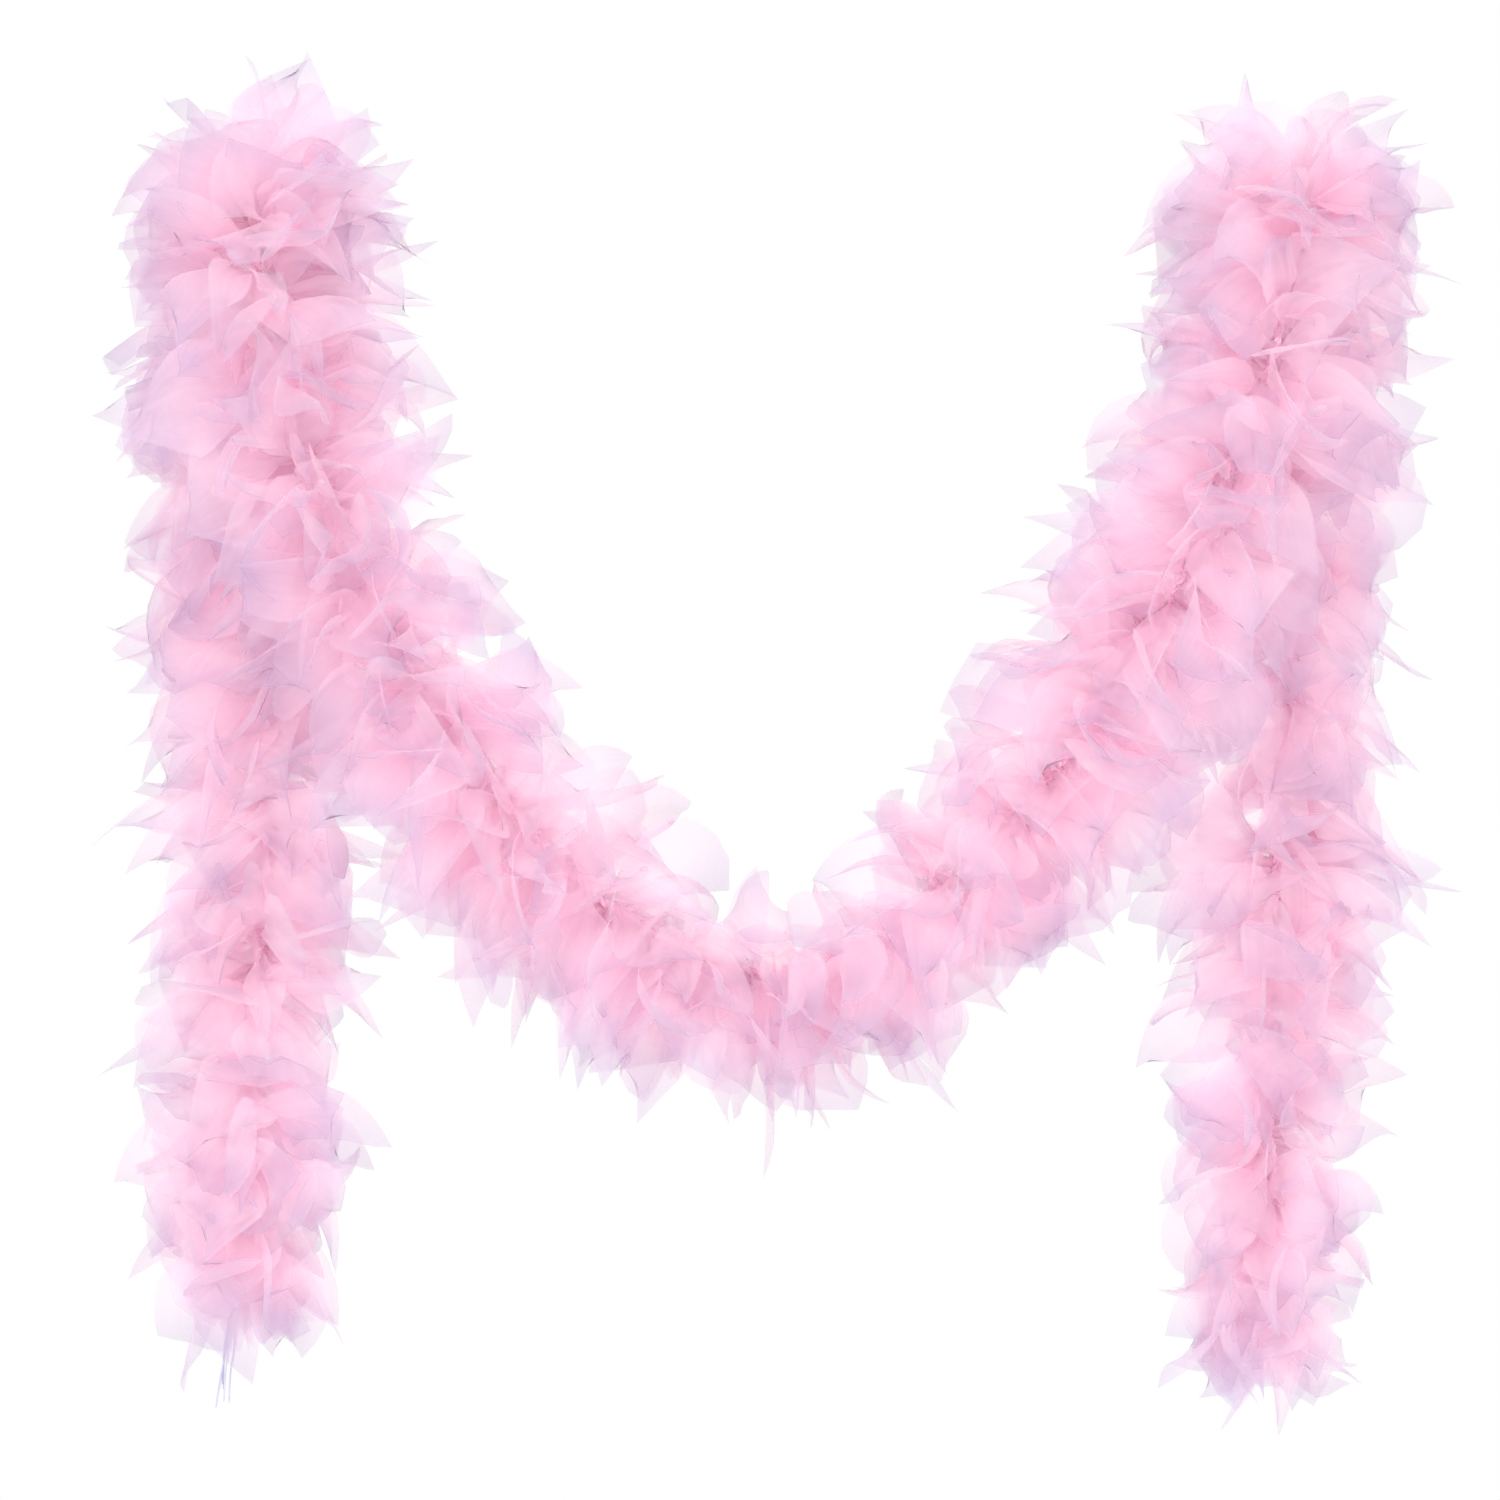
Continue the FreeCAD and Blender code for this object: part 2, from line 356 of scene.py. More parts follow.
@dataclass
class Shading:
    """One material's node tree, and the few ways that nodes are added to it.

    Attributes:
        name: the material's name.
        material: the material.
    """

    name: str
    material: bpy.types.Material = field(init=False)

    def __post_init__(self) -> None:
        """Make the material with an empty tree."""
        self.material = bpy.data.materials.new(self.name)
        self.material.use_nodes = True
        self.material.node_tree.nodes.clear()

    def node(self, kind: str, inputs: Inputs | None = None, **settings: object) -> bpy.types.Node:
        """Add a node.

        Args:
            kind: the node's type, without its prefix.
            inputs: a socket, a number or a colour for each named or numbered input.
            settings: the node's own properties.

        Returns:
            The node.
        """
        made = self.material.node_tree.nodes.new(f"ShaderNode{kind}")
        for key, value in settings.items():
            setattr(made, key, value)
        for key, value in (inputs or {}).items():
            if isinstance(value, bpy.types.NodeSocket):
                self.material.node_tree.links.new(value, made.inputs[key])
            else:
                made.inputs[key].default_value = (*value, 1.0) if isinstance(value, tuple) else value
        return made

    def read(self, kind: str, inputs: Inputs | None = None, output: Key = 0, **settings: object) -> Socket:
        """Add a node as node() does, and read one of its outputs."""
        return self.node(kind, inputs, **settings).outputs[output]

    def maths(self, operation: str, first: object, second: object = 0.0) -> Socket:
        """A Math node's result, from a socket or a number for each term."""
        return self.read("Math", {0: first, 1: second}, operation=operation)

    def between(self, value: Socket, low: float, high: float, out: tuple[float, float]) -> Socket:
        """A value from low to high, spread smoothly over another range.

        Args:
            value: the socket to read.
            low: the value that gives out[0].
            high: the value that gives out[1].
            out: the new range.

        Returns:
            The result's socket.
        """
        ends = {"Value": value, "From Min": low, "From Max": high, "To Min": out[0], "To Max": out[1]}
        return self.read("MapRange", ends, "Result", interpolation_type="SMOOTHSTEP")

    def colour_mix(self, share: object, first: object, second: object) -> Socket:
        """A mix of two colours, with the share of the second."""
        return self.read("Mix", {0: share, 6: first, 7: second}, 2, data_type="RGBA")

    def noise(self, place: Socket, scale: float, detail: float) -> Socket:
        """Fractal noise at a place."""
        return self.read("TexNoise", {"Vector": place, "Scale": scale, "Detail": detail})

    def swing(self, noise: Socket, size: float) -> Socket:
        """Noise spread about zero."""
        return self.maths("MULTIPLY", self.maths("SUBTRACT", noise, 0.5), size)

    def bump(self, height: Socket, strength: float, distance: float) -> Socket:
        """The normals of a rough surface."""
        return self.read("Bump", {"Height": height, "Strength": strength, "Distance": distance})

    def finished(self, surface: Socket) -> bpy.types.Material:
        """Use a shader as the material's surface.

        Args:
            surface: the shader.

        Returns:
            The material.
        """
        self.node("OutputMaterial", {"Surface": surface})
        return self.material


@dataclass(frozen=True)
class OrganzaFinish:
    """Sheer woven nylon: light comes through it, least at its gathers, and its colour is painted darker and
    more lilac towards its tips, as painted shade.

    Attributes:
        name: the material's name.
        deep: the colour near the gathers.
        tip: the colour near the free edges, the cloth's pink painted darker and more lilac there as painted
            shade.
        warm: the colour that some petals lean to.
        warmth: how far they lean to it.
        body: how much of the light the plain cloth stops.
        end: how much it stops towards the tip.
        gather: how much it stops where it is gathered.
        edge: how much more a cut edge stops, or less where it is below zero.
        thread: the width of a thread and its gap.
        cloth_width: the width of a middling cut.
        cloth_length: the length of a middling cut.
        through: the share of the stopped light that comes out on the far side.
        creases: how many creases a cut has across and along, and how far apart two tints' are.
        crease_depth: how much the creases change what the cloth stops.
    """

    name: str = "sheer_organza"
    deep: Point = (1.0, 0.82, 0.91)
    tip: Point = (0.58, 0.47, 0.645)
    warm: Point = (1.0, 0.68, 0.73)
    warmth: float = 0.30
    body: float = 0.44
    end: float = 0.42
    gather: float = 0.68
    edge: float = -0.06
    thread: float = 0.0007
    cloth_width: float = 0.040
    cloth_length: float = 0.057
    through: float = 0.45
    creases: Point = (9.0, 1.1, 31.0)
    crease_depth: float = 0.12

    def weave(self, s: Shading, across: Socket, along: Socket) -> Socket:
        """The height of warp and weft, where the cloth isn't pinched.

        Args:
            s: the material's tree.
            across: the place across the cut.
            along: the place along it.

        Returns:
            The height, from -0.5 to 0.5.
        """
        warp = s.maths("SINE", s.maths("MULTIPLY", across, 2 * math.pi * self.cloth_width / self.thread))
        weft = s.maths("SINE", s.maths("MULTIPLY", along, 2 * math.pi * self.cloth_length / self.thread))
        opening = s.between(along, 0.15, 0.4, (0.0, 1.0))
        open_cloth = s.maths("MULTIPLY", opening, s.between(along, 0.65, 0.9, (1.0, 0.0)))
        return s.maths("MULTIPLY", s.maths("MULTIPLY", s.maths("ADD", warp, weft), 0.25), open_cloth)

    def colour(self, s: Shading, along: Socket, tint: Socket) -> Socket:
        """Pink at the gather, painted darker and more lilac towards the tip as painted shade, with broad
        unevenness.

        Args:
            s: the material's tree.
            along: the place along the cut.
            tint: the petal's own tint.

        Returns:
            The colour.
        """
        broad = s.noise(s.read("TexCoord", output="Object"), 42.0, 1.0)
        # painted shade: the colour turns darker and more lilac towards the tip, with random broad unevenness
        # added on top
        tip_shade_and_unevenness = s.maths("ADD", s.between(along, 0.50, 1.10, (0.0, 1.0)), s.swing(broad, 0.30))
        pink = s.colour_mix(tip_shade_and_unevenness, self.deep, self.tip)
        return s.colour_mix(s.maths("MULTIPLY", tint, self.warmth), pink, self.warm)

    def cover(self, s: Shading, across: Socket, along: Socket, tint: Socket, weave: Socket) -> Socket:
        """How much of the light the cloth stops: more in its creases, which run from the gather to the tip.

        Args:
            s: the material's tree.
            across: the place across the cut.
            along: the place along it.
            tint: the petal's own tint, which also sets its creases apart from its neighbours'.
            weave: the height of the weave.

        Returns:
            The share of the light.
        """
        nearer = s.maths("MINIMUM", across, s.maths("SUBTRACT", 1.0, across))
        side = s.maths("MULTIPLY", nearer, self.cloth_width)
        end = s.maths("MULTIPLY", s.maths("SUBTRACT", 1.0, along), self.cloth_length)
        rim = s.between(s.maths("MINIMUM", side, end), 0.0002, 0.0012, (self.edge, 0.0))
        gather = s.between(along, 0.02, 0.34, (self.gather, self.body))
        gather = s.maths("ADD", gather, s.between(along, 0.40, 1.0, (0.0, self.end - self.body)))
        parts = zip((across, along, tint), self.creases)
        place = {k: s.maths("MULTIPLY", value, scale) for k, (value, scale) in enumerate(parts)}
        streaks = s.swing(s.noise(s.read("CombineXYZ", place), 1.0, 2.0), self.crease_depth)
        woven = s.maths("MULTIPLY", weave, 0.06)
        cover = s.maths("ADD", s.maths("ADD", gather, rim), s.maths("ADD", streaks, woven))
        return s.maths("MINIMUM", s.maths("MAXIMUM", cover, 0.08), 0.96)

    def make(self) -> bpy.types.Material:
        """Build the material.

        Returns:
            The material.
        """
        s = Shading(self.name)
        split = s.node("SeparateXYZ", {0: s.read("UVMap", uv_map="cloth")})
        across, along = split.outputs[0], split.outputs[1]
        tint = s.read("Attribute", output="Fac", attribute_name="tint")
        weave = self.weave(s, across, along)
        colour = self.colour(s, along, tint)
        normal = s.bump(weave, 0.3, 0.0002)
        sheen = {"Roughness": 0.55, "Specular IOR Level": 0.25, "Sheen Weight": 0.35, "Sheen Roughness": 0.4}
        face = s.read("BsdfPrincipled", {"Base Color": colour, "Normal": normal, **sheen})
        glow = s.read("BsdfTranslucent", {"Color": colour, "Normal": normal})
        cloth = s.read("MixShader", {0: self.through, 1: face, 2: glow})
        cover = self.cover(s, across, along, tint, weave)
        return s.finished(s.read("MixShader", {0: cover, 1: s.read("BsdfTransparent"), 2: cloth}))


@dataclass(frozen=True)
class YarnFinish:
    """Spun yarn: matte, with fine fibres that run along each strand.

    Attributes:
        name: the material's name.
        light: the colour on top of the fibres.
        groove_shade: the colour in the bump's grooves between the fibres, which is painted shade.
    """

    name: str
    light: Point
    groove_shade: Point

    def make(self) -> bpy.types.Material:
        """Build the material.

        Returns:
            The material.
        """
        s = Shading(self.name)
        fibres = s.noise(s.read("Attribute", output="Vector", attribute_name="yarn"), 3.0, 4.0)
        # the fibre streaks vary the tone like grain, and the colour is darker where the bump is low: painted
        # shade in the grooves between fibres
        colour = s.colour_mix(s.between(fibres, 0.3, 0.7, (0.0, 1.0)), self.groove_shade, self.light)
        matte = {"Roughness": 0.8, "Sheen Weight": 0.4, "Normal": s.bump(fibres, 0.5, 0.0003)}
        return s.finished(s.read("BsdfPrincipled", {"Base Color": colour, **matte}))


@dataclass(frozen=True)
class FloorFinish:
    """A plain pale studio floor.

    Attributes:
        name: the material's name.
        colour: the floor's colour.
    """

    name: str = "studio_floor"
    colour: Point = (0.86, 0.86, 0.87)

    def make(self) -> bpy.types.Material:
        """Build the material.

        Returns:
            The material.
        """
        s = Shading(self.name)
        return s.finished(s.read("BsdfPrincipled", {"Base Color": self.colour, "Roughness": 0.8}))


# ---------------------------------------------------------------- cord and thread


@dataclass(frozen=True)
class Bend:
    """A joint between two bodies that a piece lies across.

    Attributes:
        first: the body at its start.
        second: the body at its end.
        start: where it starts to bend.
        end: where it stops.
    """

    first: str
    second: str
    start: Point
    end: Point

    def apply(self, piece: bpy.types.Object) -> None:
        """Bake the piece's placement into its points; it is tied to neither body."""
        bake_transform(piece)


@dataclass(frozen=True)
class Yarn:
    """A round strand wound round a line.

    Attributes:
        radius: the strand's own radius.
        offset: how far its middle stays from the line.
        pitch: the length of one turn round the line, or its negative for the other hand.
        phase: where round the line it starts, in turns.
        sides: how many sides its section has.
        end_taper: the radius of its closed ends, as a share of the rest.
    """

    radius: float
    offset: float = 0.0
    pitch: float = 1.0
    phase: float = 0.0
    sides: int = 8
    end_taper: float = 0.45

    def along(self, line: Line, start: float, end: float, step: float) -> "Winding":
        """Wind the strand along a stretch of the line.

        Args:
            line: the line that it follows.
            start: where the stretch starts, as a distance along the line.
            end: where the stretch ends.
            step: the distance between the strand's rings.

        Returns:
            The strand's surface.
        """
        distances = spaced(start, end, step)
        side, other = line.frames(distances)
        turn = 2 * math.pi * (distances / self.pitch + self.phase)
        spoke = side * np.cos(turn)[:, None] + other * np.sin(turn)[:, None]
        centres = line.at(distances) + self.offset * spoke
        radii = np.full(len(centres), self.radius)
        radii[[0, -1]] *= self.end_taper
        return Winding.round(centres, radii, self.sides)


@dataclass(frozen=True)
class Winding:
    """A strand's surface, with each point's place on the strand.

    Attributes:
        vertices: the points, as rows of x, y, z.
        faces: the point numbers of each face.
        yarn: each point's place in the grain.
    """

    vertices: np.ndarray
    faces: list[tuple[int, ...]]
    yarn: np.ndarray

    @classmethod
    def round(cls, centres: np.ndarray, radii: np.ndarray, sides: int) -> "Winding":
        """Make a closed round tube.

        Args:
            centres: the middle of each ring.
            radii: the radius of each ring.
            sides: how many sides a ring has.

        Returns:
            The tube.
        """
        strand = Line(centres)
        side, other = strand.frames(strand.running)
        angles = np.arange(sides) * 2 * math.pi / sides
        cos, sin = np.cos(angles), np.sin(angles)
        spoke = side[:, None] * cos[None, :, None] + other[:, None] * sin[None, :, None]
        vertices = (centres[:, None] + spoke * radii[:, None, None]).reshape(-1, 3)
        faces = []
        last = (len(centres) - 1) * sides
        for low in range(0, last, sides):
            high = low + sides
            for k in range(sides):
                after = (k + 1) % sides
                faces.append((low + k, low + after, high + after, high + k))
        faces.append(tuple(range(sides))[::-1])
        faces.append(tuple(range(last, last + sides)))
        places = (GRAIN_ROUND * cos[None], GRAIN_ROUND * sin[None], GRAIN_LONG * strand.running[:, None])
        grain = np.stack(np.broadcast_arrays(*places), axis=-1)
        return cls(vertices, faces, grain.reshape(-1, 3))

    @staticmethod
    def piece(name: str, parts: list["Winding"], finish: bpy.types.Material) -> bpy.types.Object:
        """Join strands into one object.

        Args:
            name: the piece's name.
            parts: the strands.
            finish: the yarn's material.

        Returns:
            The piece.
        """
        vertices, faces, first = [], [], 0
        for part in parts:
            vertices.append(part.vertices)
            faces += [tuple(first + k for k in face) for face in part.faces]
            first += len(part.vertices)
        made = mesh_object(name, np.concatenate(vertices), faces)
        grain = made.data.attributes.new("yarn", "FLOAT_VECTOR", "POINT")
        grain.data.foreach_set("vector", np.concatenate([p.yarn for p in parts]).astype(np.float32).ravel())
        made.data.materials.append(finish)
        return made


PLIES = tuple(Yarn(radius=0.00093, offset=0.00107, pitch=0.012, phase=k / 3) for k in range(3))
SEWING_THREAD = Yarn(radius=0.00020, offset=0.00216, pitch=-0.009, phase=0.1, sides=5)


@dataclass(frozen=True)
class Core:
    """A length of the plied cord that carries the petals, with the sewing thread round it.

    Attributes:
        name: the piece's name.
        nodes: the CAD nodes that it stands for.
        line: the cord's line.
        start: where it starts, as a distance along the line.
        end: where it ends.
        bend: the joint that it lies across.
        finish: the cord's material.
        step: the distance between its strands' rings.
    """

    name: str
    nodes: tuple[str, ...]
    line: Line
    start: float
    end: float
    bend: Bend
    finish: bpy.types.Material
    step: float = 0.0012

    def build(self, knot: bpy.types.Object | None = None) -> None:
        """Args:
            knot: the piece that its far end is bound in, if it isn't another length of cord; not used.
        """
        yarns = (*PLIES, SEWING_THREAD)
        strands = [yarn.along(self.line, self.start, self.end, self.step) for yarn in yarns]
        piece = Winding.piece(self.name, strands, self.finish)
        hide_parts(*self.nodes)
        path = self.line.at(spaced(self.start, self.end, self.step))
        self.bend.apply(piece)
        LOG.info("%s: %.0f mm of cord", self.name, (self.end - self.start) * 1000)


@dataclass(frozen=True)
class Binding:
    """The whipping of thread that closes the cord's end.

    Attributes:
        side: the tail's side.
        line: the cord's line.
        finish: the thread's material.
        turns: how many turns of thread there are.
        thread: the thread's radius.
    """

    side: str
    line: Line
    finish: bpy.types.Material
    turns: int = 8
    thread: float = 0.00056

    def build(self) -> bpy.types.Object:
        """Wind the thread over the cord's last few millimetres.

        Returns:
            The whipping, with the cord's bound end inside it.
        """
        pitch = 2 * self.thread
        long = self.turns * pitch
        end = self.line.length
        coil = Yarn(self.thread, CORD_RADIUS + self.thread, pitch, sides=7)
        bed = Yarn(CORD_RADIUS, sides=16)
        parts = [
            coil.along(self.line, end - long, end, pitch / 20),
            bed.along(self.line, end - long - self.thread, end + self.thread, long / 12),
        ]
        piece = Winding.piece(f"{self.side}_whipping", parts, self.finish)
        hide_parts(f"{self.side}_end_binding")
        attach(piece, f"{self.side}_tail_lower")
        LOG.info("%s: %d turns", piece.name, self.turns)
        return piece


@dataclass(frozen=True)
class FrayedThreads:
    """The cord's own threads, which hang loose below the left end.

    Attributes:
        line: the cord's line.
        finish: the threads' material.
        seed: the seed of their random draws.
        count: how many there are.
        radius: a thread's radius.
        drop: the least and the most that a thread hangs down.
        lean: how far the bundle leans along X and Y, as a share of its drop.
        lean_spread: how far one thread's lean differs from that.
        wander: how far a thread strays from a straight line.
        ring: how far from the cord's middle the threads leave it.
        splay: how much further out they are at their ends.
    """

    line: Line
    finish: bpy.types.Material
    seed: int = 7
    count: int = 6
    radius: float = 0.00038
    drop: tuple[float, float] = (0.056, 0.069)
    lean: tuple[float, float] = (-0.12, -0.05)
    lean_spread: float = 0.022
    wander: float = 0.0007
    ring: float = 0.0012
    splay: float = 0.0007

    def build(self) -> None:
        """Hang each thread from the whipping."""
        rng = np.random.default_rng(self.seed)
        top = self.line.points[-1]
        for i in range(self.count):
            turn = 2 * math.pi * i / self.count
            out = np.array((math.cos(turn), math.sin(turn), 0.0))
            long = rng.uniform(*self.drop)
            lean = rng.normal(self.lean, self.lean_spread)
            control = []
            for t in np.linspace(0.0, 1.0, 7):
                stray = rng.normal(0.0, self.wander, 2) * (t > 0.15)
                x, y = lean * t + stray / long
                drift = np.array((x, y, -t)) * long
                control.append(tuple(top + out * (self.ring + self.splay * t) + drift))
            thread = Line.through(tuple(control))
            path = thread.points
            radii = np.full(len(path), self.radius)
            radii[-1] *= 0.5
            tube = Winding.round(path, radii, 6)
            piece = Winding.piece(f"frayed_thread_{i + 1}", [tube], self.finish)
            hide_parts("left_core_threads")
            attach(piece, "left_tail_lower")
            LOG.info("%s: %.0f mm of thread", piece.name, thread.length * 1000)


# ---------------------------------------------------------------- petals


def dress(piece: bpy.types.Object, cloth: np.ndarray, tint: np.ndarray, finish: bpy.types.Material) -> None:
    """Give cloth its weave's coordinates, its tint and its finish.

    Args:
        piece: the cloth.
        cloth: each point's place on its own cut, as shares across and along.
        tint: each point's tint, from 0 to 1.
        finish: the material.
    """
    mesh = piece.data
    corners = np.empty(len(mesh.loops), dtype=np.int32)
    mesh.loops.foreach_get("vertex_index", corners)
    layer = mesh.uv_layers.new(name="cloth")
    layer.data.foreach_set("uv", cloth[corners].astype(np.float32).ravel())
    mesh.attributes.new("tint", "FLOAT", "POINT").data.foreach_set("value", tint.astype(np.float32))
    mesh.materials.append(finish)


def grid_faces(count: int, rows: int, columns: int) -> list[tuple[int, ...]]:
    """Number the corners of petals that are each one grid of points.

    Args:
        count: how many petals there are.
        rows: how many rows of points each has.
        columns: how many points are in a row.

    Returns:
        The four corners of every face, petal after petal.
    """
    grid = np.arange(rows * columns).reshape(rows, columns)
    one = np.stack([grid[:-1, :-1], grid[:-1, 1:], grid[1:, 1:], grid[1:, :-1]], axis=-1).reshape(-1, 4)
    offsets = np.arange(count)[:, None, None] * rows * columns
    return (one[None] + offsets).reshape(-1, 4).tolist()


@dataclass
class PetalSet:
    """Petals that grow from given roots: their cut sizes, and how each one hangs.

    Attributes:
        rng: the seeded random source.
        roots: where each petal is stitched to the cord.
        heads: the direction each petal leaves in.
        sides: the direction across each petal.
        reach: a scale for each petal's length.
        droop: how far gravity bends a level petal, in radians.
        slack: the least and the most of that bend that a petal takes, as shares.
        curl: how far petals curl towards a face, as a spread in radians.
        sway: how far they bend sideways.
        twist: how far they turn about their own length.
        widest_spread: how far the widest place moves from the pattern's.
        waves: the least and the most waves across a petal.
        ruffle: the least and the most height of its waves, as shares of its width.
        pleats: how many pleats its gather has.
        pleat_depth: how deep they are.
        pleat_end: where along the petal they have opened out.
        gather_width: the width of the gathered root.
        rows: how many points a petal has along its length.
        columns: how many it has across.
        steps: how many points its middle line has.
    """

    rng: np.random.Generator
    roots: np.ndarray
    heads: np.ndarray
    sides: np.ndarray
    reach: np.ndarray
    droop: float = 0.75
    slack: tuple[float, float] = (0.55, 1.35)
    curl: float = 0.9
    sway: float = 0.35
    twist: float = 0.7
    widest_spread: float = 0.06
    waves: tuple[float, float] = (1.3, 2.9)
    ruffle: tuple[float, float] = (0.05, 0.15)
    pleats: float = 3.2
    pleat_depth: float = 0.0022
    pleat_end: float = 0.45
    gather_width: float = 0.006
    rows: int = 11
    columns: int = 7
    steps: int = 16

    def __post_init__(self) -> None:
        """Choose each petal's cut and its sizes."""
        count = len(self.roots)
        order = [cut for cut, pattern in PATTERNS.items() for _ in range(math.ceil(pattern.share * count))]
        patterns = [PATTERNS[order[i]] for i in self.rng.permutation(len(order))[:count]]
        pick, spread = self.rng.uniform, self.rng.normal
        self.width = np.array([pick(*p.width) for p in patterns])
        self.long = np.array([pick(*p.length) for p in patterns]) * self.reach
        self.rolls = np.array([pick(*p.roll) for p in patterns]) * self.rng.choice([-1, 1], count)
        self.end = np.array([p.end for p in patterns])
        self.widest = pick(-self.widest_spread, self.widest_spread, count) + [p.widest for p in patterns]
        self.round = np.array([p.round for p in patterns])
        self.slant = np.array([pick(-p.slant, p.slant) for p in patterns])
        self.curls = spread(0.0, self.curl, count)
        self.sways = spread(0.0, self.sway, count)
        self.twists = spread(0.0, self.twist, count)
        self.weight = self.droop * pick(*self.slack, count)
        self.wave_counts = pick(*self.waves, count)
        self.phase = pick(0.0, 2 * math.pi, count)
        self.ruffles = pick(*self.ruffle, count)
        self.tint = pick(0.0, 1.0, count)

    def spines(self) -> tuple[np.ndarray, np.ndarray, np.ndarray]:
        """Walk each petal's middle line from its root.

        Returns:
            The line's points, and the side and face directions at each.
        """
        head, side = unit(self.heads), unit(self.sides)
        face = np.cross(head, side)
        here = self.roots.copy()
        step = self.long / (self.steps - 1)
        down = np.tile((0.0, 0.0, -1.0), (len(here), 1))
        points, sides, faces = [here], [side], [face]
        for i in range(self.steps - 1):
            t = i / (self.steps - 1)
            fall = np.cross(head, down)
            turn = self.weight * np.linalg.norm(fall, axis=1) * (0.5 + t) / self.steps
            bend = self.curls * 2.0 * t / self.steps
            yaw = self.sways / self.steps
            twist = self.twists / self.steps
            for axis, angle in ((unit(fall), turn), (side, bend), (face, yaw), (head, twist)):
                head = turned(head, axis, angle)
                side = turned(side, axis, angle)
            side = unit(side - head * (side * head).sum(axis=1, keepdims=True))
            face = np.cross(head, side)
            here = here + head * step[:, None]
            points.append(here)
            sides.append(side)
            faces.append(face)
        return tuple(np.stack(rows, axis=1) for rows in (points, sides, faces))

    def outline(self, v: np.ndarray) -> np.ndarray:
        """Find the shape of each petal's sides.

        Args:
            v: shares of a petal's length.

        Returns:
            Half of the petal's width at each share, one row to a petal.
        """
        rise = smooth(v[None, :] / self.widest[:, None]) ** 0.8
        past = np.clip((v[None, :] - self.widest[:, None]) / (1 - self.widest[:, None]), 0, 1)
        shape = rise * (1 - (1 - self.end[:, None]) * past ** self.round[:, None])
        return 0.5 * np.maximum(self.width[:, None] * shape, self.gather_width * (1 - v[None, :]))

    def surface(self) -> tuple[np.ndarray, np.ndarray, np.ndarray]:
        """Lay each petal's cloth over its spine.

        Returns:
            The points, the places on the cloth as shares across and along, and the flat areas.
        """
        v = np.linspace(0, 1, self.rows)
        u = np.linspace(-1, 1, self.columns)
        points, sides, faces = self.spines()
        half = self.outline(v)[:, :, None]
        vv = v[None, :, None]
        uu = u[None, None, :]
        slant, rolls, waves, phase, ruffle, long = (
            each[:, None, None]
            for each in (self.slant, self.rolls, self.wave_counts, self.phase, self.ruffles, self.long)
        )

        # how far along the spine each cloth point lies
        run = vv * (1 + slant * uu * vv)
        run = np.clip(run, 0, 1.25) * (self.steps - 1)
        low = np.clip(np.floor(run).astype(int), 0, self.steps - 2)
        rest = (run - low)[..., None]
        pick = np.arange(len(points))[:, None, None]
        centre = points[pick, low] * (1 - rest) + points[pick, low + 1] * rest
        side = unit(sides[pick, low] * (1 - rest) + sides[pick, low + 1] * rest)
        face = unit(faces[pick, low] * (1 - rest) + faces[pick, low + 1] * rest)

        # the sides roll towards the face, more and more towards the tip
        roll = rolls * smooth(0.25 + 0.9 * vv) * np.ones_like(uu)
        angle = roll * uu / 2
        sign = np.where(np.abs(roll) < 1e-3, 1e-3, roll)
        radius = 2 * half / sign
        spiral = 1 + 0.10 * np.abs(angle)
        across = radius * np.sin(angle) * spiral
        out = radius * (1 - np.cos(angle)) * spiral

        # pleats at the gather that open into soft waves
        wave = np.sin(waves * math.pi * uu / 2 + phase)
        pleated = self.pleat_depth * (1 - smooth(vv / self.pleat_end))
        pleat = pleated * np.sin(self.pleats * math.pi * uu / 2 + phase)
        swell = ruffle * half * wave * (0.4 + 1.2 * vv)
        lift = out + swell + pleat
        places = centre + side * across[..., None] + face * lift[..., None]

        areas = self.flat_areas(half * uu, run / (self.steps - 1) * long)
        cloth = np.stack(np.broadcast_arrays((uu + 1) / 2, vv * np.ones_like(run)), axis=-1)
        return places, cloth, areas

    @staticmethod
    def flat_areas(across: np.ndarray, along: np.ndarray) -> np.ndarray:
        """Measure each petal's flat cut.

        Args:
            across: its grid's places across the cut.
            along: its grid's places along it.

        Returns:
            The area of each cut.
        """
        first = np.stack(np.broadcast_arrays(across, along), axis=-1)
        diagonal = first[:, 1:, 1:] - first[:, :-1, :-1]
        other = first[:, :-1, 1:] - first[:, 1:, :-1]
        cross = diagonal[..., 0] * other[..., 1] - diagonal[..., 1] * other[..., 0]
        return np.abs(cross).sum(axis=(1, 2)) / 2

    def faces(self) -> list[tuple[int, ...]]:
        """The four corners of every face, petal after petal."""
        return grid_faces(len(self.roots), self.rows, self.columns)


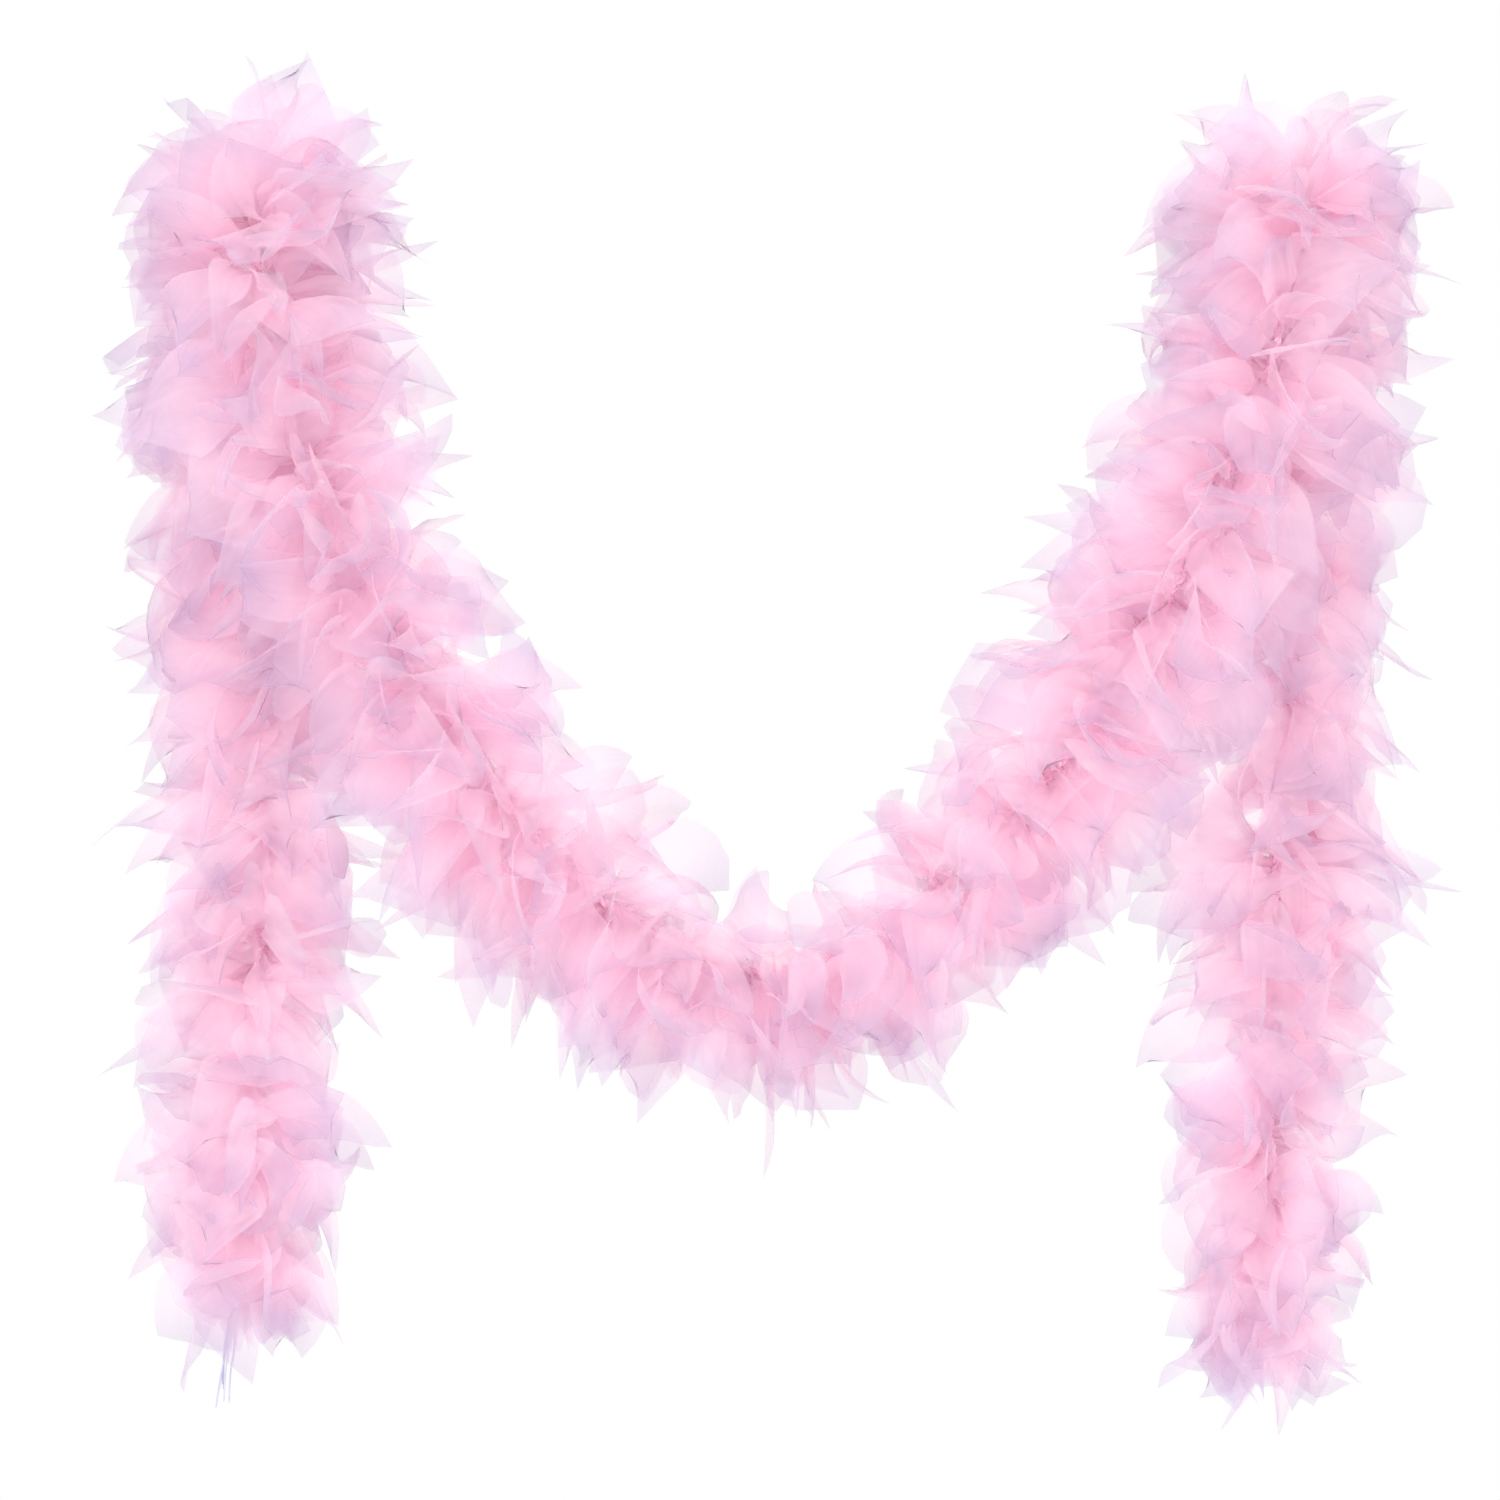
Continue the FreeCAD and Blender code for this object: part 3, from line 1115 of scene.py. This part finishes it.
@dataclass(frozen=True)
class Clearance:
    """What the petals keep clear of: the rail's own space, and the other strand where two lie side by side.

    Attributes:
        strand: which side of the drape they are on.
        rail: the radius that they keep from the rail's axis.
        near: how far from the plane between two strands they start to be pressed.
        depth: how far they stand out in front or behind before they are drawn in.
        give: the most that they stand out past that.
        slip: how far outside that radius a point is put, as a share of how deep inside it was.
    """

    strand: Strand
    rail: float
    near: float = 0.027
    depth: float = 0.084
    give: float = 0.013
    slip: float = 0.04

    def apply(self, points: np.ndarray) -> np.ndarray:
        """Move the points that are too close, and those that stand out in front or behind too far.

        Args:
            points: the petals' points, with x, y, z last.

        Returns:
            The points, pressed flat against what they met.
        """
        moved = points.copy()
        over = np.maximum(np.abs(moved[..., 1]) - self.depth, 0.0)
        moved[..., 1] -= np.sign(moved[..., 1]) * (over - self.give * np.tanh(over / self.give))
        if self.strand is not Strand.FREE:
            sign = -1.0 if self.strand is Strand.FRONT else 1.0
            inward = self.near - sign * moved[..., 1]
            pressed = self.near * (1 - np.exp(-np.maximum(inward, 0) / self.near))
            moved[..., 1] = np.where(inward > 0, sign * (self.near - pressed), moved[..., 1])
        radius = np.hypot(moved[..., 1], moved[..., 2])
        out = np.maximum(self.rail - radius, 0)
        scale = np.where(out > 0, (self.rail + self.slip * out) / np.maximum(radius, 1e-6), 1.0)
        moved[..., 1] *= scale
        moved[..., 2] *= scale
        return moved


@dataclass(frozen=True)
class Hang:
    """How one tuft's petals fall.

    Attributes:
        reach: a scale for its petals' lengths.
        across: the lean along X that all its petals share.
        up: the lean along Z that they share.
    """

    reach: float
    across: float
    up: float


SWAG_HANGS = (
    Hang(1.04, -0.10, 0.0), Hang(1.06, -0.14, 0.0), Hang(1.02, -0.18, -0.05), Hang(1.00, -0.22, -0.16),
    Hang(1.06, -0.26, -0.32), Hang(1.10, -0.24, -0.36), Hang(1.08, -0.14, -0.46), Hang(1.08, -0.16, -0.80),
    Hang(1.06, -0.02, -0.80), Hang(1.00, 0.10, -0.60), Hang(0.96, 0.02, -0.34), Hang(1.04, 0.06, -0.26),
    Hang(1.08, 0.02, -0.14), Hang(1.06, -0.08, 0.0), Hang(1.06, -0.18, 0.0), Hang(1.08, -0.24, 0.05),
    Hang(1.06, -0.22, 0.0),
)
LEFT_HANGS = (
    Hang(1.24, -0.36, 0.0), Hang(1.20, -0.32, 0.0), Hang(1.20, -0.32, 0.0), Hang(1.14, -0.26, -0.05),
    Hang(1.04, -0.10, -0.05), Hang(0.98, -0.04, -0.05), Hang(0.96, -0.04, 0.0), Hang(0.92, -0.04, -0.20),
    Hang(0.90, 0.0, -0.40), Hang(0.90, 0.08, -0.90),
)
RIGHT_HANGS = (
    Hang(1.02, 0.10, 0.0), Hang(1.02, 0.10, 0.0), Hang(1.00, 0.10, 0.0), Hang(1.02, 0.14, 0.0),
    Hang(1.08, 0.20, 0.0), Hang(1.06, 0.18, -0.05), Hang(0.92, 0.16, -0.05), Hang(0.90, 0.14, -0.15),
    Hang(0.88, 0.14, -0.25), Hang(0.86, 0.06, -0.45), Hang(0.84, -0.18, -0.85),
)
CROWN_HANG = Hang(0.97, 0.18, 0.0)


@dataclass(frozen=True)
class Tuft:
    """One ruff of petals round a short stretch of cord.

    Attributes:
        name: the CAD node that it stands for.
        body: the body that it rides on.
        line: the cord's line.
        start: where its stretch starts, as a distance along the line.
        end: where its stretch ends.
        seed: the seed of its own random draws.
        hang: how its petals fall.
        count: how many petals it has.
        strand: what it keeps clear of.
        outward: the direction that its fan of petals is centred on.
        fan: the angle that its petals are spread over.
        lean: how far its petals lean along the cord, in radians.
        lean_spread: how far one petal's lean differs from that.
        spin: the most that a petal is turned about its own length, in radians.
        stray: how far a petal is from its place round the cord, as a share of a turn.
        held_back: how much shorter the petals are that stand up against a pull down.
        rail: the radius that its petals keep from the rail's axis.
        bend: the joint it lies across, if any.
        golden: the turn from one petal to the next.
    """

    name: str
    body: str
    line: Line
    start: float
    end: float
    seed: int
    hang: Hang
    count: int = FULL_TUFT
    strand: Strand = Strand.FREE
    outward: Point = (0.0, -1.0, 0.0)
    fan: float = 2 * math.pi
    lean: float = 0.0
    lean_spread: float = 0.38
    spin: float = 1.45
    stray: float = 0.05
    held_back: float = 0.45
    rail: float = 0.0118
    bend: Bend | None = None
    golden: float = 0.618034

    def petals(self) -> PetalSet:
        """Place the roots round the cord and aim the petals.

        Returns:
            The petals.
        """
        rng = np.random.default_rng(self.seed)
        share = (np.arange(self.count) + rng.uniform(0.0, 1.0, self.count)) / self.count
        distance = self.start + (self.end - self.start) * share
        heading = self.line.heading(distance)
        outward = unit(np.cross(np.cross(heading, np.array(self.outward)), heading))
        stray = rng.uniform(-self.stray, self.stray, self.count)
        around = (np.arange(self.count) * self.golden + stray) % 1.0
        angle = (around - 0.5) * self.fan
        radial = turned(outward, heading, angle)
        tilt = rng.normal(self.lean, self.lean_spread, self.count)
        pull = np.array((self.hang.across, 0.0, self.hang.up))
        head = unit(radial * np.cos(tilt)[:, None] + heading * np.sin(tilt)[:, None] + pull)
        tangent = np.cross(heading, radial)
        spin = rng.uniform(-self.spin, self.spin, self.count)
        side = turned(unit(tangent), unit(head), spin)
        root = self.line.at(distance) + radial * CORD_RADIUS
        against = np.clip(-self.hang.up * radial[:, 2], 0.0, 1.0)
        return PetalSet(rng, root, head, side, self.hang.reach * (1 - self.held_back * against))

    def build(self, finish: bpy.types.Material) -> None:
        """Make the tuft's petals as one piece of cloth.

        Args:
            finish: the organza.
        """
        petals = self.petals()
        places, cloth, areas = petals.surface()
        places = Clearance(self.strand, self.rail).apply(places)
        piece = mesh_object(f"petals_{self.name}", places.reshape(-1, 3), petals.faces())
        dress(piece, cloth.reshape(-1, 2), np.repeat(petals.tint, petals.rows * petals.columns), finish)
        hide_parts(self.name)
        if self.bend:
            self.bend.apply(piece)
        else:
            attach(piece, self.body)
        LOG.info("%s: %d petals, %.3f square metres of cloth", piece.name, self.count, areas.sum())


# ---------------------------------------------------------------- the drape


@dataclass(frozen=True)
class Finishes:
    """The boa's materials.

    Attributes:
        organza: the petals' cloth.
        cord: the cord's yarn.
        binding: the whipping's thread.
        threads: the loose threads below the left end.
    """

    organza: bpy.types.Material
    cord: bpy.types.Material
    binding: bpy.types.Material
    threads: bpy.types.Material


def saddle_bend(body: str, x: float, y: float) -> Bend:
    """Where a strand's cloth bends, in front of its saddle or behind it."""
    return Bend("saddles", body, (x, y, SADDLE_HIGH_Z), (x, y, SADDLE_LOW_Z))


def swag_bend(x: float) -> Bend:
    """Where the swag's cloth bends, in front of a saddle."""
    return saddle_bend("swag", x, -SADDLE_Y)


@dataclass
class Swag:
    """The middle of the boa, in front of the rail.

    Attributes:
        seed: the seed of its first tuft.
    """

    seed: int = 100

    def build(self, finishes: Finishes) -> None:
        """Make the swag's tufts and its cord.

        Args:
            finishes: the boa's materials.
        """
        line = Line.through(SWAG_ROUTE)
        running = line.running
        hanging = running[line.points[:, 2] < 0.0]
        first, last = float(hanging[0]) + FIRST_TUFT, float(hanging[-1]) - FIRST_TUFT
        bends = {1: swag_bend(LEFT_X), len(SWAG_HANGS): swag_bend(RIGHT_X)}
        centres = np.linspace(first, last, len(SWAG_HANGS))
        half = (centres[1] - centres[0]) / 2
        for number, (centre, hang) in enumerate(zip(centres, SWAG_HANGS), 1):
            x = float(line.at(np.array([centre]))[0, 0])
            beside = x < BESIDE_X or x > RIGHT_X - BESIDE_X
            Tuft(
                name=f"swag_tuft_{number:02d}",
                body="swag",
                line=line,
                start=centre - half,
                end=centre + half,
                seed=self.seed + number - 1,
                hang=hang,
                strand=Strand.FRONT if beside else Strand.FREE,
                bend=bends.get(number),
            ).build(finishes.organza)
        middle = line.length / 2
        for side, x, start, end, nodes in (
            ("left", LEFT_X, 0.0, middle, ("left_saddle_cord", "swag_cord")),
            ("right", RIGHT_X, middle, line.length, ("right_saddle_cord",)),
        ):
            Core(f"{side}_swag_cord", nodes, line, start, end, swag_bend(x), finishes.cord).build()


@dataclass
class Tail:
    """An end of the boa, behind the rail.

    Attributes:
        side: which end it is.
        x: where it hangs along the rail.
        route: the cord's route from the saddle.
        counts: how many tufts its upper, middle and lower lengths have.
        hangs: how each tuft falls, from the top.
        seed: the seed of its random draws.
        blend_half: how far to each side of a joint it bends.
        lean: how far its petals lean down the cord, in radians.
        last_lean: how far those of its last tuft do.
    """

    side: str
    x: float
    route: Points
    counts: tuple[int, int, int]
    hangs: tuple[Hang, ...]
    seed: int
    blend_half: float = 0.030
    lean: float = 0.15
    last_lean: float = 0.5

    def bends(self, line: Line, joints: list[float]) -> list[Bend]:
        """Find where the tail's cloth bends: behind the rail, and at its two own joints.

        Args:
            line: the cord's line.
            joints: the distances along it of the joints and of its end.

        Returns:
            The bends, from the top.
        """
        found = [saddle_bend(self.body("upper"), self.x, SADDLE_Y)]
        for joint, first, second in ((joints[1], "upper", "middle"), (joints[2], "middle", "lower")):
            ends = line.at(np.array((joint - self.blend_half, joint + self.blend_half)))
            found.append(Bend(self.body(first), self.body(second), tuple(ends[0]), tuple(ends[1])))
        return found

    def body(self, part: str) -> str:
        """The name of one of the tail's bodies."""
        return f"{self.side}_tail_{part}"

    def build(self, finishes: Finishes) -> None:
        """Make the tail's tufts, its cord and its whipped end.

        Args:
            finishes: the boa's materials.
        """
        line = Line.through(tuple((x + self.x, y, z) for x, y, z in self.route))
        joints = [line.where(2, z) for z in (0.0, MIDDLE_JOINT_Z, LOWER_JOINT_Z)] + [line.length]
        bends = self.bends(line, joints)
        self.tufts(line, joints, bends, finishes.organza)
        cuts = [0.0] + [(low + high) / 2 for low, high in zip(joints[:2], joints[1:3])] + [line.length]
        knot = Binding(self.side, line, finishes.binding).build()
        for part, start, end, bend in zip(("upper", "middle", "lower"), cuts, cuts[1:], bends):
            node = f"{self.side}_tail_{part}_cord"
            core = Core(f"{node}_plied", (node,), line, start, end, bend, finishes.cord)
            core.build(knot if part == "lower" else None)
        if self.side == "left":
            FrayedThreads(line, finishes.threads).build()

    def tufts(self, line: Line, joints: list[float], bends: list[Bend], finish: bpy.types.Material) -> None:
        """Make the tail's tufts.

        Args:
            line: the cord's line.
            joints: the distances along it of the joints and of its end.
            bends: where its cloth bends.
            finish: the organza.
        """
        insets = (FIRST_TUFT, JOINT_INSET, JOINT_INSET, LAST_INSET)
        number = 0
        for k, (part, count) in enumerate(zip(("upper", "middle", "lower"), self.counts)):
            ends = (joints[k] + insets[k], joints[k + 1] - insets[k + 1])
            near = {0: bends[k], count - 1: bends[k + 1] if k < 2 else None}
            centres = np.linspace(*ends, count)
            half = (centres[1] - centres[0]) / 2
            for i, centre in enumerate(centres):
                number += 1
                z = float(line.at(np.array([centre]))[0, 2])
                last = number == len(self.hangs)
                low = LAST_TUFT if last else LOW_TUFT
                Tuft(
                    name=f"{self.side}_tuft_{number:02d}",
                    body=self.body(part),
                    line=line,
                    start=centre - half,
                    end=min(centre + half, line.length),
                    seed=self.seed + number,
                    hang=self.hangs[number - 1],
                    count=low if part == "lower" else FULL_TUFT,
                    strand=Strand.BACK if z > BESIDE_Z else Strand.FREE,
                    lean=self.last_lean if last else self.lean,
                    bend=near.get(i),
                ).build(finish)


@dataclass(frozen=True)
class PressedPetals:
    """Petals caught between the cord and the rail, pressed flat against the rail's top half.

    Attributes:
        side: the saddle's side.
        x: where it is along the rail.
        seed: the seed of its random draws.
        count: how many petals the pile has.
        grid: how many points a petal has each way.
        width: the least and the most width of a cut.
        length: the least and the most length.
        spin: the most that a petal is turned in the pile, in radians.
        taper: how much a cut narrows towards its ends.
        shift: the most that it is moved along the rail, and round it in radians.
        reach_x: the furthest that the pile goes along the rail.
        past_level: how far round past the rail's middle height it goes, in radians.
        ripple: the height of its ripples.
    """

    side: str
    x: float
    seed: int
    count: int = 14
    grid: int = 9
    width: tuple[float, float] = (0.026, 0.040)
    length: tuple[float, float] = (0.030, 0.046)
    spin: float = 0.9
    taper: float = 0.25
    shift: tuple[float, float] = (0.012, 0.55)
    reach_x: float = 0.029
    past_level: float = 0.12
    ripple: float = 0.00012

    def build(self, finish: bpy.types.Material) -> None:
        """Wrap each petal round the rail at its own height in the pile.

        Args:
            finish: the organza.
        """
        rng = np.random.default_rng(self.seed)
        u, v = np.meshgrid(np.linspace(-1, 1, self.grid), np.linspace(-1, 1, self.grid))
        places, cloth, tints, area = [], [], [], 0.0
        for radius in np.linspace(PAD_INNER, PAD_OUTER, self.count):
            wide, long = rng.uniform(*self.width), rng.uniform(*self.length)
            spin = rng.uniform(-self.spin, self.spin)
            across = u * wide / 2 * (1 - self.taper * v * v)
            along = v * long / 2 * (1 - self.taper * u * u)
            shift = rng.uniform(-1.0, 1.0, 2) * self.shift
            x = across * math.cos(spin) - along * math.sin(spin) + shift[0]
            x = self.x + np.clip(x, -self.reach_x, self.reach_x)
            angle = (across * math.sin(spin) + along * math.cos(spin)) / radius + math.pi / 2 + shift[1]
            angle = np.clip(angle, -self.past_level, math.pi + self.past_level)
            out = radius + self.ripple * np.sin(5 * u + 7 * v + rng.uniform(0, 6))
            place = np.stack([x, -out * np.cos(angle), out * np.sin(angle)], axis=-1)
            places.append(place.reshape(-1, 3))
            cloth.append(np.stack([(u + 1) / 2, 0.35 + 0.3 * (v + 1)], axis=-1).reshape(-1, 2))
            tints.append(np.full(u.size, rng.uniform()))
            area += float(PetalSet.flat_areas(across[None], along[None])[0])
        faces = grid_faces(self.count, self.grid, self.grid)
        piece = mesh_object(f"{self.side}_pressed_petals", np.concatenate(places), faces)
        dress(piece, np.concatenate(cloth), np.concatenate(tints), finish)
        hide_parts(f"{self.side}_saddle_pad")
        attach(piece, "saddles")
        LOG.info("%s: %d petals", piece.name, self.count)


@dataclass
class Saddle:
    """The boa's crossing over the rail.

    Attributes:
        side: which crossing it is.
        x: where it is along the rail.
        seed: the seed of its random draws.
        tufts: how many tufts its crown has.
        petals: how many petals each of them has.
        fan: the angle that they are spread over.
        rail: the radius that they keep from the rail's axis.
    """

    side: str
    x: float
    seed: int
    tufts: int = 3
    petals: int = 30
    fan: float = math.radians(200)
    rail: float = 0.0163

    def build(self, finishes: Finishes) -> None:
        """Make the crown's tufts and the petals pressed under the cord.

        Args:
            finishes: the boa's materials.
        """
        front = tuple((self.x, y, z) for _, y, z in SWAG_ROUTE[:4])
        back = tuple((x, -y, z) for x, y, z in reversed(front))
        line = Line.through(back + front[1:])
        start, end = line.where(1, SADDLE_Y), line.where(1, -SADDLE_Y)
        stretch = (end - start) / self.tufts
        behind = saddle_bend(f"{self.side}_tail_upper", self.x, SADDLE_Y)
        bends = {0: behind, self.tufts - 1: swag_bend(self.x)}
        for i in range(self.tufts):
            middle = math.pi * (i + 0.5) / self.tufts
            Tuft(
                name=f"{self.side}_crown_tuft_{self.tufts - i}",
                body="saddles",
                line=line,
                start=start + i * stretch,
                end=start + (i + 1) * stretch,
                seed=self.seed + i,
                hang=CROWN_HANG,
                count=self.petals,
                outward=(0.0, math.cos(middle), math.sin(middle)),
                fan=self.fan,
                rail=self.rail,
                bend=bends.get(i),
            ).build(finishes.organza)
        PressedPetals(self.side, self.x, self.seed + 5).build(finishes.organza)


@dataclass(frozen=True)
class Lamp:
    """A soft square light that points at the boa.

    Attributes:
        name: the light's name.
        place: where it hangs.
        power: its power in watts.
        size: the side of its square.
        colour: its colour.
    """

    name: str
    place: Point
    power: float
    size: float = 1.6
    colour: Point = (1.0, 0.99, 0.97)

    def hang(self, target: Point) -> None:
        """Hang the light and turn it.

        Args:
            target: the point that it looks at.
        """
        lamp = bpy.data.lights.new(self.name, "AREA")
        lamp.shape = "SQUARE"
        lamp.size = self.size
        lamp.energy = self.power
        lamp.color = self.colour
        made = bpy.data.objects.new(self.name, lamp)
        bpy.context.collection.objects.link(made)
        made.location = self.place
        x, y, z = np.array(target) - np.array(self.place)
        made.rotation_euler = (math.atan2(math.hypot(x, y), -z), 0.0, math.atan2(-x, y))


@dataclass
class Studio:
    """The floor, the lights and the camera.

    Attributes:
        floor_z: the floor's height.
        floor_radius: its radius.
        aim: the middle of the boa.
        frame_width: how much of the boa's plane the camera sees from side to side.
        lens: the camera's focal length in millimetres.
        sensor: its sensor's width in millimetres.
        surround: the colour of the light from all round.
        surround_strength: how strong it is.
        lamps: the lights.
    """

    floor_z: float = -0.74
    floor_radius: float = 1.15
    aim: Point = (0.2017, 0.0, -0.2058)
    frame_width: float = 0.615
    lens: float = 135.0
    sensor: float = 36.0
    surround: Point = (0.93, 0.94, 1.0)
    surround_strength: float = 1.03
    lamps: tuple[Lamp, ...] = (
        Lamp("key", (-0.9, -2.0, 1.0), 28.0),
        Lamp("fill", (1.5, -1.8, 0.3), 17.0),
        Lamp("back", (0.2, 1.9, 0.9), 15.0),
    )

    def floor(self) -> None:
        """Lay a plain round floor well below the boa."""
        place = (self.aim[0], 0.0, self.floor_z)
        bpy.ops.mesh.primitive_circle_add(
            vertices=96, radius=self.floor_radius, fill_type="NGON", location=place
        )
        floor = bpy.context.object
        floor.name = "floor"
        floor.data.materials.append(FloorFinish().make())

    def camera(self) -> None:
        """Set a long lens level with the boa's middle."""
        camera = bpy.data.cameras.new("camera")
        camera.lens = self.lens
        camera.sensor_width = self.sensor
        camera.clip_end = 50.0
        made = bpy.data.objects.new("camera", camera)
        bpy.context.collection.objects.link(made)
        distance = self.frame_width * self.lens / self.sensor
        made.location = (self.aim[0], -distance, self.aim[2])
        made.rotation_euler = (math.pi / 2, 0.0, 0.0)
        bpy.context.scene.camera = made

    def world(self) -> None:
        """Make a surround that the camera sees as plain white, and that lights the boa a little cooler."""
        world = bpy.data.worlds.new("white")
        world.use_nodes = True
        bpy.context.scene.world = world
        tree = world.node_tree
        shown = tree.nodes["Background"]
        lit = tree.nodes.new("ShaderNodeBackground")
        views = ((shown, (1.0, 1.0, 1.0), 1.0), (lit, self.surround, self.surround_strength))
        for light, colour, strength in views:
            light.inputs["Color"].default_value = (*colour, 1.0)
            light.inputs["Strength"].default_value = strength
        seen = tree.nodes.new("ShaderNodeLightPath")
        mix = tree.nodes.new("ShaderNodeMixShader")
        tree.links.new(seen.outputs["Is Camera Ray"], mix.inputs[0])
        tree.links.new(lit.outputs[0], mix.inputs[1])
        tree.links.new(shown.outputs[0], mix.inputs[2])
        tree.links.new(mix.outputs[0], tree.nodes["World Output"].inputs["Surface"])

    def build(self) -> None:
        """Set the whole studio, and let light through many layers of cloth."""
        self.camera()
        self.world()
        self.floor()
        for lamp in self.lamps:
            lamp.hang(self.aim)
        scene = bpy.context.scene
        scene.view_settings.view_transform = "Standard"
        scene.cycles.transparent_max_bounces = 32
        scene.cycles.max_bounces = 18
        scene.cycles.diffuse_bounces = 16
        scene.cycles.transmission_bounces = 8


def main() -> None:
    """Build the boa and its studio in order."""
    logging.basicConfig(level=logging.INFO, format="%(message)s")
    Studio().build()
    finishes = Finishes(
        organza=OrganzaFinish().make(),
        cord=YarnFinish("pink_cord", (1.0, 0.78, 0.89), (1.0, 0.70, 0.84)).make(),
        binding=YarnFinish("binding_thread", (0.93, 0.66, 0.78), (0.80, 0.48, 0.64)).make(),
        threads=YarnFinish("pale_threads", (0.70, 0.68, 0.82), (0.55, 0.54, 0.69)).make(),
    )
    Saddle("left", LEFT_X, 10).build(finishes)
    Saddle("right", RIGHT_X, 20).build(finishes)
    Swag().build(finishes)
    Tail("left", LEFT_X, LEFT_ROUTE, (4, 3, 3), LEFT_HANGS, 200).build(finishes)
    Tail("right", RIGHT_X, RIGHT_ROUTE, (4, 3, 4), RIGHT_HANGS, 300).build(finishes)


if __name__ == "__main__":
    main()
